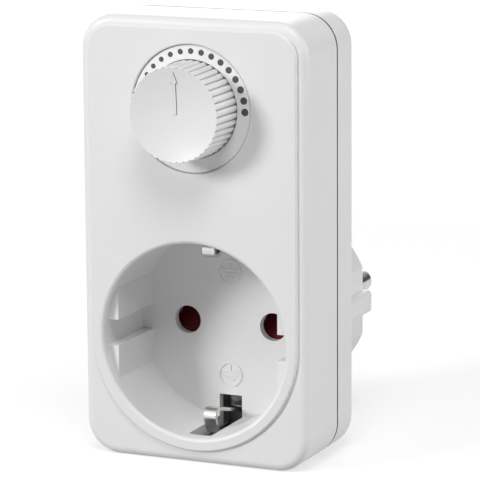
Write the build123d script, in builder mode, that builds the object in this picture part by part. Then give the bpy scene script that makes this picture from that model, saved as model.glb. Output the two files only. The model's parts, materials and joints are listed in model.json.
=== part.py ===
from build123d import *
import os
from math import cos, pi, radians, sin

# Plug-in rotary dimmer with an earthed two-pin plug at the back and a matching socket in front.
# Millimetres. X to the right, Y into the wall, Z up. The origin is the centre of the plug's face,
# midway between its pins. A height below is a distance in front of that face, towards the room.

# Housing, as seen from the room
BODY_WIDTH = 48.8
BODY_ABOVE = 64.6
BODY_BELOW = 25.0
BODY_DEPTH = 27.0
CORNER_RADIUS = 7.0
WALL = 2.0
PLATEAU_RISE = 0.7
PLATEAU_EDGE = 0.3
FRONT_EDGE_RADIUS = 1.7
REAR_EDGE_RADIUS = 4.0
FRONT_SHELL_DEPTH = 15.9
SEAM_GAP = 0.55
SEAM_SINK = 1.0
TONGUE_HEIGHT = 1.5
TONGUE_WALL = 0.9
TONGUE_CLEARANCE = 0.15

# Socket in the front
SOCKET_RADIUS = 19.8
SOCKET_BACK_ROOM = 8.8
SOCKET_FLOOR = 1.8
CUP_WALL = 2.4
COLLAR_WIDTH = 2.6
LIP_RADIUS = 0.8
GUIDE_HALF_SPAN = 17.4
GUIDE_SLOT_WIDTH = 5.3
GUIDE_DROP = 2.0
PIN_HOLE_RADIUS = 2.9
CLIP_SLOT_WIDTH = 5.0
CLIP_SLOT_LENGTH = 4.8
CLIP_SLOT_SINK = 2.8
CLIP_SLOT_STOP = 3.0
SYMBOL_RADIUS = 2.6
SYMBOL_LINE = 0.32
SYMBOL_RISE = 0.2
SYMBOL_OFFSET = 10.7
SYMBOL_STEM_SHARES = (0.2, 0.73)
SYMBOL_BAR_SHARES = ((0.2, 1.6), (-0.12, 1.14), (-0.42, 0.6))

# Plug at the back
BOSS_LENGTH = 22.0
BOSS_RADIUS = 18.5
BOSS_HALF_FLAT = 17.1
BOSS_FACE_WALL = 4.0
BOSS_BORE_RADIUS = 14.8
BOSS_EDGE = 0.8
RIB_REACH = 19.1
RIB_WIDTH = 4.8
RIB_ROUND = 1.0
PIN_SPACING = 19.0
PIN_RADIUS = 2.4
PIN_ROOT_RADIUS = 2.6
PIN_LENGTH = 19.0
PIN_FLANGE_RADIUS = 3.6
PIN_FLANGE_HEIGHT = 1.5
PIN_TIP_RADIUS = 1.8
PIN_TAIL_RADIUS = 1.5
PIN_TAIL_LENGTH = 2.0
FIT_CLEARANCE = 0.02
RUNNING_CLEARANCE = 0.05
SLACK = 0.2

# Dial, knob and potentiometer
KNOB_AXIS_ABOVE = 46.7
DIAL_RADIUS = 12.7
DIAL_GAP = 0.1
DIAL_SEAT_DEPTH = 1.4
DIAL_SINK = 0.4
DIAL_LIP = 0.3
DIAL_EDGE = 0.2
KNOB_BASE_RADIUS = 9.75
KNOB_TIP_RADIUS = 9.5
KNOB_GAP = 0.3
KNOB_RING_GAP = 0.12
KNOB_RISE = 8.0
KNOB_RIM_RADIUS = 0.15
KNOB_WALL = 1.5
KNOB_CAP = 1.8
DISH_SINK = 1.1
DISH_RADIUS = 9.25
FLUTE_COUNT = 42
FLUTE_SINK = 0.5
ARROW_LENGTH = 8.3
ARROW_LINE = 0.5
ARROW_HEAD = 1.3
ARROW_HEAD_LENGTH = 2.1
ARROW_RISE = 0.2
ARROW_GROOVE = 0.12
ARROW_GROOVE_SINK = 0.25
DOT_COUNT = 17
DOT_INSET = 1.25
DOT_SWEEP = 180
DOT_LARGE_RADIUS = 0.74
DOT_SMALL_RADIUS = 0.4
DOT_THICKNESS = 0.2
SHAFT_RADIUS = 3.0
SHAFT_FLAT = 1.6
SHAFT_CAP_GAP = 0.4
HUB_RADIUS = 4.6
BUSHING_RADIUS = 3.75
BUSHING_REACH = 2.2
NUT_ACROSS = 10.0
NUT_THICKNESS = 1.6
WASHER_RADIUS = 5.6
WASHER_THICKNESS = 0.5
POT_RADIUS = 8.0
POT_WALL = 0.8
POT_HEIGHT = 8.3
POT_BASE_THICKNESS = 1.4
TRACK_THICKNESS = 0.4
TRACK_WIDTH = 2.2
WIPER_RADIUS = 6.4
WIPER_THICKNESS = 1.2
POT_PIN_WIDTH = 1.0
POT_PIN_PITCH = 5.0
POT_PIN_REACH = 2.6

# Circuit board and what stands on it
BOARD_THICKNESS = 1.6
BOARD_MARGIN = 1.6
BOARD_CORNER = 2.0
BOARD_GAP = 2.2
POST_RADIUS = 2.4
SCREW_RADIUS = 1.0
SCREW_HEAD_RADIUS = 1.9
SCREW_HEAD_HEIGHT = 1.2
SCREW_BITE = 5.0
SLOT_CUT = 0.5
CHOKE_RADIUS = 7.6
CHOKE_BORE = 3.8
CHOKE_HEIGHT = 5.0
CHOKE_WIRE = 0.9
CHOKE_TURNS = 16
FILM_CAP_LENGTH = 13.0
FILM_CAP_WIDTH = 6.0
FILM_CAP_GAP = 3.9
SMALL_CAP_LENGTH = 7.2
SMALL_CAP_WIDTH = 2.6
SMALL_CAP_HEIGHT = 6.0
RESISTOR_LENGTH = 6.3
RESISTOR_RADIUS = 1.2
LEAD_RADIUS = 0.3
LEAD_REACH = 1.4
DIAC_LENGTH = 3.8
DIAC_RADIUS = 0.9
FUSE_LENGTH = 20.0
FUSE_RADIUS = 2.6
FUSE_CAP_LENGTH = 5.0
FUSE_CAP_WALL = 0.3
FUSE_CLIP_WIDTH = 4.0
FUSE_CLIP_SHEET = 0.4
FUSE_STAND = 0.6
FUSE_CLIP_BEND = 0.8
TRIAC_WIDTH = 10.2
TRIAC_HEIGHT = 9.2
TRIAC_BODY = 4.4
TRIAC_TAB = 1.3
TRIAC_TAB_HEIGHT = 6.2
TRIAC_LEAD = 0.8
TRIAC_LEAD_SHEET = 0.5
TRIAC_LEAD_REACH = 3.0
TRIAC_LEAD_RISE = 2.7
TRIAC_LEAD_PITCH = 2.54
SINK_WIDTH = 13.0
SINK_HEIGHT = 17.0
SINK_SHEET = 1.5
SINK_FIN = 5.0
SINK_HEAD_RADIUS = 2.7
SINK_SCREW_RADIUS = 1.5

# Places of the components on the back of the board: insets from its sides, and heights above the pins
CHOKE_INSET = 9.8
CHOKE_ABOVE = 36.0
FILM_CAP_INSET = 11.8
FILM_CAP_ABOVE = 30.0
SMALL_CAP_BELOW_TOP = 3.0
RESISTOR_INSET = 2.2
RESISTORS_ABOVE = (37.5, 49.0)
DIAC_ABOVE = 30.0
FUSE_INSET = 10.8
FUSE_ABOVE = 50.0
SINK_INSET = 4.8
SINK_BOTTOM = 38.5
SINK_SCREW_INSET = 12.1
SINK_SCREW_ABOVE = 51.0
COMPONENT_ROUND = 0.8
DEGREES_ROUND = 360

# Contacts, shutter and earth parts
SLEEVE_WALL = 0.7
SLEEVE_SLIT = 0.8
SLEEVE_GRIP = 0.04
SLEEVE_BASE = 1.0
SLEEVE_SLIT_LENGTH = 9.5
SLEEVE_DROP = 0.3
DIVIDER = 4.5
SHUTTER_THICKNESS = 1.7
SHUTTER_HALF_HEIGHT = 3.4
SHUTTER_TRAVEL = 6.4
RAMP_WIDTH = 6.6
RAMP_LAND = 0.6
SHUTTER_GAP = 0.3
SHUTTER_HALF_WIDTH = 13.4
RAMP_DEPTH = 4.5
RAIL_WIDTH = 1.6
RAIL_RISE = 5.0
RAIL_TOP_GAP = 0.1
CARRIER_SIDE = 1.2
SPRING_RADIUS = 0.75
SPRING_WIRE = 0.3
SPRING_TURNS = 6
SPRING_LENGTH = 9.0
SPRING_PEG = 1.8
CARRIER_FLANGE = 2.6
CARRIER_FLANGE_RISE = 13.6
CARRIER_FLANGE_DROP = 15.2
EARTH_WIDTH = 4.4
EARTH_SHEET = 1.0
EARTH_LEG_SINK = 0.8
EARTH_LEG_INSET = 1.2
CLIP_WIDTH = 2.6
CLIP_SHEET = 0.7
CLIP_ROOT_OFFSET = 19.4
CLIP_CREST_OFFSET = 15.6
CLIP_TIP_OFFSET = 20.4
CLIP_CREST_DROP = 7.4
CLIP_TIP_DROP = 9.8
CLIP_BEND = 1.1
ARM_SHEET = 0.3
ARM_BEND = 0.6
RIVET_RADIUS = 0.8
RIVET_HEAD_RADIUS = 1.3
RIVET_HEAD = 0.4
RIVET_OFFSET = 15.7
CLIP_FOOT_OFFSET = 14.5
EARTH_BEND = 1.5
WIRE_RADIUS = 0.9
WIRE_BEND = 3.0
WIRE_LINE_X = 11.1
WIRE_LOAD_X = 7.3
WIRE_RISE = 7.6
WIRE_BOARD_Z = 25.8
LINE_HEIGHT = 6.5
LOAD_HEIGHT = 10.1
LOAD_START_X = 8.7
LOAD_START_Z = 3.07

# Housing screws
HOUSING_POST_RADIUS = 2.8
HOUSING_SCREW_RADIUS = 1.2
HOUSING_HEAD_RADIUS = 2.3
HOUSING_HEAD_HEIGHT = 1.5
HOUSING_HEAD_SINK = 2.5
HOUSING_SCREW_STOP = 11.0

# Heights in front of the plug's face, and places that follow from the sizes above
FRONT_HEIGHT = BOSS_LENGTH + BODY_DEPTH
FACE_HEIGHT = FRONT_HEIGHT - PLATEAU_RISE
SEAM_HEIGHT = FRONT_HEIGHT - FRONT_SHELL_DEPTH
BACK_INSIDE = BOSS_LENGTH + WALL
FRONT_INSIDE = FACE_HEIGHT - WALL
SOCKET_FLOOR_HEIGHT = BOSS_LENGTH + SOCKET_BACK_ROOM
SOCKET_DEPTH = FRONT_HEIGHT - SOCKET_FLOOR_HEIGHT
CUP_BACK = SOCKET_FLOOR_HEIGHT - SOCKET_FLOOR
CUP_RADIUS = SOCKET_RADIUS + CUP_WALL
COLLAR_RADIUS = SOCKET_RADIUS + COLLAR_WIDTH
BODY_HEIGHT = BODY_ABOVE + BODY_BELOW
HOUSING_SCREW_LENGTH = BODY_DEPTH - HOUSING_SCREW_STOP
BODY_MIDDLE = (BODY_ABOVE - BODY_BELOW) / 2
HALF_WIDTH = BODY_WIDTH / 2
DIAL_SEAT = FRONT_HEIGHT - DIAL_SEAT_DEPTH
DIAL_FRONT = FRONT_HEIGHT - DIAL_SINK
DIAL_BORE = KNOB_BASE_RADIUS + KNOB_RING_GAP
KNOB_BASE = DIAL_SEAT + KNOB_GAP
KNOB_FRONT = FRONT_HEIGHT + KNOB_RISE
KNOB_CAVITY_TOP = KNOB_FRONT - DISH_SINK - KNOB_CAP
BUSHING_TOP = DIAL_SEAT + BUSHING_REACH + WASHER_THICKNESS
SHAFT_TOP = KNOB_CAVITY_TOP
HUB_BOTTOM = BUSHING_TOP + SHAFT_CAP_GAP
BOARD_FRONT = FRONT_INSIDE - POT_HEIGHT
BOARD_BACK = BOARD_FRONT - BOARD_THICKNESS
PIN_X = PIN_SPACING / 2
SIDES = (-1, 1)


def facing(height):
    """Plane parallel to the wall at this height, seen from the room, with Z up in it."""
    return Plane.XZ.offset(height)


def save(piece, name):
    """Label a finished piece and write it as one file."""
    piece.part.label = name
    export_step(piece.part, f"parts/{name}.step")


def housing_outline(inset, mode=Mode.ADD):
    """Rounded outline of the housing, moved inwards by the inset, for a sketch on a facing plane."""
    with Locations((0, BODY_MIDDLE)):
        RectangleRounded(
            BODY_WIDTH - 2 * inset, BODY_HEIGHT - 2 * inset, CORNER_RADIUS - inset, mode=mode
        )


def bent_strip(points, bend, sheet, width):
    """Strip of sheet bent along a path of (Y, Z) points and centred on X = 0; the sheet lies to its left."""
    with BuildPart() as strip:
        with BuildSketch(Plane.YZ.offset(-width / 2)):
            with BuildLine():
                FilletPolyline(*points, radius=bend)
                offset(amount=sheet, side=Side.LEFT)
            make_face()
        extrude(amount=width)
    return strip


def edges_at(part, height):
    """Edges of a part that lie in the facing plane of this height."""
    return part.edges().filter_by_position(Axis.Y, -height, -height)


# Places shared by both covers: screws in the corners, the dial's axis, and the socket's own axis
POST_INSET = WALL + HOUSING_POST_RADIUS + SLACK / 2
POST_X = HALF_WIDTH - POST_INSET
POST_SPOTS = [
    (side * POST_X, height)
    for side in SIDES
    for height in (BODY_ABOVE - POST_INSET, POST_INSET - BODY_BELOW)
]
DIAL_SPOT = (0, KNOB_AXIS_ABOVE)
BOARD_BOTTOM = CUP_RADIUS + BOARD_GAP
BOARD_TOP = BODY_ABOVE - WALL - BOARD_MARGIN
BOARD_HALF = HALF_WIDTH - WALL - BOARD_MARGIN
BOARD_POST_X = BOARD_HALF - POST_RADIUS - SLACK
BOARD_POST_LOW = BOARD_BOTTOM + POST_RADIUS
BOARD_POST_TOP_X = DIAL_RADIUS - POST_RADIUS - 2 * SLACK
BOARD_POST_HIGH = BOARD_TOP - SCREW_HEAD_RADIUS
BOARD_POSTS = [(side * BOARD_POST_X, BOARD_POST_LOW) for side in SIDES]
BOARD_POSTS += [(side * BOARD_POST_TOP_X, BOARD_POST_HIGH) for side in SIDES]
CHOKE_SPOT = (CHOKE_INSET - BOARD_HALF, CHOKE_ABOVE)
FILM_CAP_SPOT = (BOARD_HALF - FILM_CAP_INSET, FILM_CAP_ABOVE)
FILM_CAP_HEIGHT = BOARD_BACK - BACK_INSIDE - FILM_CAP_GAP
SMALL_CAP_SPOT = (0, BOARD_TOP - SMALL_CAP_BELOW_TOP)
RESISTOR_SPOTS = [(BOARD_HALF - RESISTOR_INSET, above) for above in RESISTORS_ABOVE]
DIAC_SPOT = (0, DIAC_ABOVE)
FUSE_SPOT = (FUSE_INSET - BOARD_HALF, FUSE_ABOVE)
SINK_SCREW_SPOT = (BOARD_HALF - SINK_SCREW_INSET, SINK_SCREW_ABOVE)
SHUTTER_FRONT = CUP_BACK - SHUTTER_GAP
SHUTTER_BACK = SHUTTER_FRONT - SHUTTER_THICKNESS
SPRING_SEAT = -SHUTTER_HALF_HEIGHT - SPRING_LENGTH

# Front cover with the socket's cup moulded in one piece
with BuildPart() as front_cover:
    with BuildSketch(facing(SEAM_HEIGHT)):
        housing_outline(0)
    extrude(amount=FACE_HEIGHT - SEAM_HEIGHT)
    fillet(edges_at(front_cover, FACE_HEIGHT), FRONT_EDGE_RADIUS)
    with BuildSketch(facing(FACE_HEIGHT)):
        Circle(COLLAR_RADIUS)
        with Locations((0, BODY_ABOVE / 2)):
            Rectangle(2 * COLLAR_RADIUS, BODY_ABOVE)
        housing_outline(FRONT_EDGE_RADIUS + PLATEAU_EDGE, Mode.INTERSECT)
    extrude(amount=PLATEAU_RISE)
    chamfer(edges_at(front_cover, FRONT_HEIGHT), PLATEAU_EDGE)
    with BuildSketch(facing(SEAM_HEIGHT)):
        housing_outline(WALL)
    extrude(amount=FRONT_INSIDE - SEAM_HEIGHT, mode=Mode.SUBTRACT)
    # Cup, its side webs and its floor
    with BuildSketch(facing(CUP_BACK)):
        Circle(CUP_RADIUS)
    extrude(amount=FACE_HEIGHT - CUP_BACK)
    with BuildSketch(facing(SEAM_HEIGHT)):
        Rectangle(BODY_WIDTH - WALL, CUP_WALL * 2)
    extrude(amount=FRONT_INSIDE - SEAM_HEIGHT)
    # Screw posts of the covers and of the board
    with BuildSketch(facing(SEAM_HEIGHT)):
        with Locations(*POST_SPOTS):
            Circle(HOUSING_POST_RADIUS)
    extrude(amount=FRONT_INSIDE - SEAM_HEIGHT)
    with BuildSketch(facing(BOARD_FRONT)):
        with Locations(*BOARD_POSTS):
            Circle(POST_RADIUS)
    extrude(amount=FRONT_INSIDE - BOARD_FRONT)
    with BuildSketch(facing(SEAM_HEIGHT)):
        with Locations(*POST_SPOTS):
            Circle(HOUSING_SCREW_RADIUS + FIT_CLEARANCE)
    extrude(amount=HOUSING_SCREW_LENGTH + SCREW_BITE - SEAM_HEIGHT + BOSS_LENGTH, mode=Mode.SUBTRACT)
    with BuildSketch(facing(BOARD_FRONT)):
        with Locations(*BOARD_POSTS):
            Circle(SCREW_RADIUS + FIT_CLEARANCE)
    extrude(amount=SCREW_BITE, mode=Mode.SUBTRACT)
    # Recess: a round bore, narrowed by two pairs of guides with a slot between each pair
    with BuildSketch(facing(SOCKET_FLOOR_HEIGHT)):
        Circle(SOCKET_RADIUS)
        guide_x = GUIDE_HALF_SPAN + SOCKET_RADIUS / 2
        guide_z = (GUIDE_SLOT_WIDTH + SOCKET_RADIUS) / 2
        with Locations(*[(a * guide_x, b * guide_z) for a in SIDES for b in SIDES]):
            Rectangle(SOCKET_RADIUS, SOCKET_RADIUS, mode=Mode.SUBTRACT)
    extrude(amount=SOCKET_DEPTH, mode=Mode.SUBTRACT)
    with BuildSketch(facing(FRONT_HEIGHT - GUIDE_DROP)):
        Circle(SOCKET_RADIUS)
    extrude(amount=GUIDE_DROP, mode=Mode.SUBTRACT)
    rim = edges_at(front_cover, FRONT_HEIGHT).filter_by(GeomType.CIRCLE)
    rim = rim.filter_by(lambda edge: abs(edge.radius - SOCKET_RADIUS) < FIT_CLEARANCE)
    fillet(rim, LIP_RADIUS)
    # Holes for the pins, slots for the earth clips, seat for the shutter's spring
    with BuildSketch(facing(CUP_BACK)):
        with Locations((-PIN_X, 0), (PIN_X, 0)):
            Circle(PIN_HOLE_RADIUS)
    extrude(amount=SOCKET_FLOOR, mode=Mode.SUBTRACT)
    slot_reach = SOCKET_RADIUS + CLIP_SLOT_SINK
    slot_height = CLIP_SLOT_LENGTH + CLIP_SLOT_SINK
    with BuildSketch(facing(CUP_BACK)):
        with Locations(*[(0, side * (slot_reach - slot_height / 2)) for side in SIDES]):
            Rectangle(CLIP_SLOT_WIDTH, slot_height)
    extrude(amount=FRONT_HEIGHT - CLIP_SLOT_STOP - CUP_BACK, mode=Mode.SUBTRACT)
    with BuildSketch(facing(SHUTTER_BACK)):
        with Locations((0, SPRING_SEAT - SPRING_PEG / 2)):
            Rectangle(2 * SPRING_PEG, SPRING_PEG)
    extrude(amount=CUP_BACK - SHUTTER_BACK)
    # Two raised earth symbols on the recess floor
    for side in SIDES:
        with BuildSketch(facing(SOCKET_FLOOR_HEIGHT)):
            with Locations((0, side * SYMBOL_OFFSET)):
                Circle(SYMBOL_RADIUS)
                Circle(SYMBOL_RADIUS - SYMBOL_LINE, mode=Mode.SUBTRACT)
                foot, top = [share * SYMBOL_RADIUS for share in SYMBOL_STEM_SHARES]
                with Locations((0, (foot + top) / 2)):
                    Rectangle(SYMBOL_LINE, top - foot)
                for place_share, width_share in SYMBOL_BAR_SHARES:
                    with Locations((0, place_share * SYMBOL_RADIUS)):
                        Rectangle(width_share * SYMBOL_RADIUS, SYMBOL_LINE)
        extrude(amount=SYMBOL_RISE)
    # Seat of the dial plate and hole for the bushing
    with BuildSketch(facing(DIAL_SEAT)):
        with Locations(DIAL_SPOT):
            Circle(DIAL_RADIUS + DIAL_GAP)
    extrude(amount=DIAL_SEAT_DEPTH, mode=Mode.SUBTRACT)
    seat_rim = edges_at(front_cover, FRONT_HEIGHT).filter_by(GeomType.CIRCLE)
    fillet(seat_rim.sort_by_distance((0, -FRONT_HEIGHT, KNOB_AXIS_ABOVE))[0], DIAL_LIP)
    with BuildSketch(facing(FRONT_INSIDE)):
        with Locations(DIAL_SPOT):
            Circle(BUSHING_RADIUS + DIAL_GAP)
    extrude(amount=DIAL_SEAT - FRONT_INSIDE, mode=Mode.SUBTRACT)
save(front_cover, "front_cover")

# Rear cover: a tray with the plug's boss standing out of its back
LEG_OUTSIDE = BOSS_RADIUS - EARTH_LEG_SINK
LEG_INSIDE = LEG_OUTSIDE - EARTH_SHEET
CARRIER_TOP = BACK_INSIDE + CARRIER_FLANGE
RAIL_TOP = CUP_BACK - RAIL_TOP_GAP
TONGUE_FLOOR = CUP_RADIUS + TONGUE_WALL
CARRIER_SCREW_RING = BOSS_BORE_RADIUS + SCREW_RADIUS + 2 * SLACK
CARRIER_SCREW_ANGLES = (136, 234, 306)
CARRIER_SCREWS = [
    (CARRIER_SCREW_RING * cos(radians(turn)), CARRIER_SCREW_RING * sin(radians(turn)))
    for turn in CARRIER_SCREW_ANGLES
]
with BuildPart() as rear_cover:
    with BuildSketch(facing(BOSS_LENGTH)):
        housing_outline(0)
    extrude(amount=SEAM_HEIGHT - BOSS_LENGTH)
    fillet(edges_at(rear_cover, BOSS_LENGTH), REAR_EDGE_RADIUS)
    # Shadow groove round the seam
    with BuildSketch(facing(SEAM_HEIGHT - SEAM_GAP)):
        housing_outline(-SEAM_SINK)
        housing_outline(SEAM_SINK, Mode.SUBTRACT)
    extrude(amount=SEAM_GAP, mode=Mode.SUBTRACT)
    with BuildSketch(facing(BACK_INSIDE)):
        housing_outline(WALL)
    extrude(amount=SEAM_HEIGHT - BACK_INSIDE, mode=Mode.SUBTRACT)
    # Boss with two flats, each with a guide rib
    with BuildSketch(facing(0)):
        Circle(BOSS_RADIUS)
        Rectangle(2 * BOSS_HALF_FLAT, 2 * BOSS_RADIUS, mode=Mode.INTERSECT)
    extrude(amount=BOSS_LENGTH)
    with BuildSketch(facing(0)):
        RectangleRounded(2 * RIB_REACH, RIB_WIDTH, RIB_ROUND)
    extrude(amount=BOSS_LENGTH)
    chamfer(edges_at(rear_cover, 0), BOSS_EDGE)
    with BuildSketch(facing(BOSS_FACE_WALL)):
        Circle(BOSS_BORE_RADIUS)
    extrude(amount=BACK_INSIDE - BOSS_FACE_WALL, mode=Mode.SUBTRACT)
    with BuildSketch(facing(0)):
        with Locations((-PIN_X, 0), (PIN_X, 0)):
            Circle(PIN_ROOT_RADIUS + FIT_CLEARANCE)
    extrude(amount=BOSS_FACE_WALL, mode=Mode.SUBTRACT)
    # Channels for the earth legs, open to the outside along the boss
    channel = BOSS_RADIUS + SLACK - LEG_INSIDE
    with BuildSketch(facing(0)):
        with Locations(*[(0, side * (LEG_INSIDE - SLACK / 2 + channel / 2)) for side in SIDES]):
            Rectangle(EARTH_WIDTH + 2 * SLACK, channel)
    extrude(amount=BOSS_LENGTH, mode=Mode.SUBTRACT)
    with BuildSketch(facing(BOSS_LENGTH)):
        with Locations(*[(0, side * (LEG_INSIDE + EARTH_SHEET / 2)) for side in SIDES]):
            Rectangle(EARTH_WIDTH + 2 * SLACK, EARTH_SHEET + SLACK)
    extrude(amount=WALL, mode=Mode.SUBTRACT)
    # Screw posts with sunk heads, and bores for the carrier's screws
    with BuildSketch(facing(BACK_INSIDE)):
        with Locations(*POST_SPOTS):
            Circle(HOUSING_POST_RADIUS)
    extrude(amount=SEAM_HEIGHT - BACK_INSIDE)
    with BuildSketch(facing(BOSS_LENGTH)):
        with Locations(*POST_SPOTS):
            Circle(HOUSING_HEAD_RADIUS + SLACK)
    extrude(amount=HOUSING_HEAD_SINK, mode=Mode.SUBTRACT)
    with BuildSketch(facing(BOSS_LENGTH)):
        with Locations(*POST_SPOTS):
            Circle(HOUSING_SCREW_RADIUS + FIT_CLEARANCE)
    extrude(amount=SEAM_HEIGHT - BOSS_LENGTH, mode=Mode.SUBTRACT)
    with BuildSketch(facing(BACK_INSIDE - SCREW_BITE)):
        with Locations(*CARRIER_SCREWS):
            Circle(SCREW_RADIUS + FIT_CLEARANCE)
    extrude(amount=SCREW_BITE, mode=Mode.SUBTRACT)
    # Tongue that lines up the covers, above the cup
    with BuildSketch(facing(SEAM_HEIGHT - TONGUE_HEIGHT)):
        housing_outline(WALL - SLACK)
        housing_outline(WALL + TONGUE_CLEARANCE + TONGUE_WALL, Mode.SUBTRACT)
        with Locations((0, TONGUE_FLOOR - BODY_HEIGHT / 2)):
            Rectangle(BODY_WIDTH, BODY_HEIGHT, mode=Mode.SUBTRACT)
        with Locations(*POST_SPOTS):
            Circle(HOUSING_POST_RADIUS + TONGUE_CLEARANCE, mode=Mode.SUBTRACT)
    extrude(amount=TONGUE_HEIGHT)
    with BuildSketch(facing(SEAM_HEIGHT)):
        housing_outline(WALL + TONGUE_CLEARANCE)
        housing_outline(WALL + TONGUE_CLEARANCE + TONGUE_WALL, Mode.SUBTRACT)
        with Locations((0, TONGUE_FLOOR - BODY_HEIGHT / 2)):
            Rectangle(BODY_WIDTH, BODY_HEIGHT, mode=Mode.SUBTRACT)
        with Locations(*POST_SPOTS):
            Circle(HOUSING_POST_RADIUS + TONGUE_CLEARANCE, mode=Mode.SUBTRACT)
    extrude(amount=TONGUE_HEIGHT)
save(rear_cover, "rear_cover")


def rod(spot, low, high, radius, mode=Mode.ADD):
    """Round rod along the depth at an (X, Z) spot, between two heights."""
    with Locations((spot[0], -(low + high) / 2, spot[1])):
        Cylinder(radius, high - low, rotation=(90, 0, 0), mode=mode)


def block(left, right, bottom, top, low, high, mode=Mode.ADD):
    """Block between two X values, two Z values and two heights."""
    with Locations(((left + right) / 2, -(low + high) / 2, (bottom + top) / 2)):
        Box(right - left, high - low, top - bottom, mode=mode)


def screws(spots, seat, way, head_radius, head_height, radius, length):
    """Slotted screws with heads on this seat; way 1 points them to the room and -1 to the wall."""
    head = sorted((seat - way * head_height, seat))
    slot = sorted((seat - way * head_height, seat - way * head_height / 2))
    with BuildPart() as group:
        for spot in spots:
            rod(spot, *head, head_radius)
            rod(spot, *sorted((seat, seat + way * length)), radius)
            with Locations((spot[0], -sum(slot) / 2, spot[1])):
                Box(2 * head_radius, head_height / 2, SLOT_CUT, mode=Mode.SUBTRACT)
    return group


housing_screws = screws(
    POST_SPOTS,
    BOSS_LENGTH + HOUSING_HEAD_SINK,
    1,
    HOUSING_HEAD_RADIUS,
    HOUSING_HEAD_HEIGHT,
    HOUSING_SCREW_RADIUS,
    HOUSING_SCREW_LENGTH,
)
save(housing_screws, "housing_screws")

# Dial plate: a ring let into the front, with a row of growing dots from the left to the right
DOT_RING = DIAL_RADIUS - DOT_INSET
DOTS = []
for number in range(DOT_COUNT):
    share = number / (DOT_COUNT - 1)
    turn = radians(DOT_SWEEP * share)
    spot = (DOT_RING * cos(turn), KNOB_AXIS_ABOVE + DOT_RING * sin(turn))
    DOTS.append((spot, DOT_LARGE_RADIUS + (DOT_SMALL_RADIUS - DOT_LARGE_RADIUS) * share))
with BuildPart() as dial_plate:
    with BuildSketch(facing(DIAL_SEAT)):
        with Locations(DIAL_SPOT):
            Circle(DIAL_RADIUS)
            Circle(DIAL_BORE, mode=Mode.SUBTRACT)
    extrude(amount=DIAL_FRONT - DIAL_SEAT)
    chamfer(edges_at(dial_plate, DIAL_FRONT).sort_by(SortBy.LENGTH)[-1], DIAL_EDGE)
    with BuildSketch(facing(DIAL_FRONT - DOT_THICKNESS)):
        for spot, radius in DOTS:
            with Locations(spot):
                Circle(radius + FIT_CLEARANCE)
    extrude(amount=DOT_THICKNESS, mode=Mode.SUBTRACT)
save(dial_plate, "dial_plate")

with BuildPart() as scale_dots:
    with BuildSketch(facing(DIAL_FRONT - DOT_THICKNESS)):
        for spot, radius in DOTS:
            with Locations(spot):
                Circle(radius)
    extrude(amount=DOT_THICKNESS)
save(scale_dots, "scale_dots")

# Knob: rounded flutes that meet in sharp valleys, a hollow front with a raised arrow, a hub inside
DIAL_AXIS = Axis((0, 0, KNOB_AXIS_ABOVE), (0, 1, 0))
DIAL_SECTION = Plane(origin=(0, 0, KNOB_AXIS_ABOVE), x_dir=(0, 0, 1), z_dir=(1, 0, 0))
FLUTE_STEP = 2 * pi / FLUTE_COUNT
CAVITY_RADIUS = KNOB_TIP_RADIUS - FLUTE_SINK - KNOB_WALL
DISH_SPHERE = (DISH_RADIUS**2 + DISH_SINK**2) / (2 * DISH_SINK)
DISH_CENTRE = (0, -(KNOB_FRONT - DISH_SINK + DISH_SPHERE), KNOB_AXIS_ABOVE)


def rim_point(radius, steps):
    """Point round the knob's axis, this many flutes past three o'clock."""
    return (radius * cos(steps * FLUTE_STEP), KNOB_AXIS_ABOVE + radius * sin(steps * FLUTE_STEP))


def flutes(radius):
    """Ring of arcs, one per flute, from valley to valley over a crest at this radius."""
    for flute in range(FLUTE_COUNT):
        ThreePointArc(
            rim_point(radius - FLUTE_SINK, flute),
            rim_point(radius, flute + 1 / 2),
            rim_point(radius - FLUTE_SINK, flute + 1),
        )


def arrow_outline():
    """Closed outline of an arrow from the knob's axis towards its rim, pointing up."""
    tip = KNOB_AXIS_ABOVE + ARROW_LENGTH
    shoulder = tip - ARROW_HEAD_LENGTH
    Polyline(
        (-ARROW_LINE / 2, KNOB_AXIS_ABOVE),
        (ARROW_LINE / 2, KNOB_AXIS_ABOVE),
        (ARROW_LINE / 2, shoulder),
        (ARROW_HEAD / 2, shoulder),
        (0, tip),
        (-ARROW_HEAD / 2, shoulder),
        (-ARROW_LINE / 2, shoulder),
        close=True,
    )


ARROW_FOOT = KNOB_FRONT - DISH_SINK - 2 * ARROW_GROOVE_SINK
with BuildPart() as arrow:
    with BuildSketch(facing(ARROW_FOOT)):
        with BuildLine():
            arrow_outline()
        make_face()
    extrude(amount=KNOB_FRONT - ARROW_FOOT)
    with Locations(DISH_CENTRE):
        Sphere(DISH_SPHERE - ARROW_RISE, mode=Mode.SUBTRACT)

with BuildPart() as arrow_groove:
    with BuildSketch(facing(ARROW_FOOT)):
        with BuildLine():
            arrow_outline()
        make_face()
        offset(amount=ARROW_GROOVE, kind=Kind.INTERSECTION)
    extrude(amount=KNOB_FRONT - ARROW_FOOT)
    with Locations(DISH_CENTRE):
        Sphere(DISH_SPHERE + ARROW_GROOVE_SINK, mode=Mode.INTERSECT)

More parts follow.
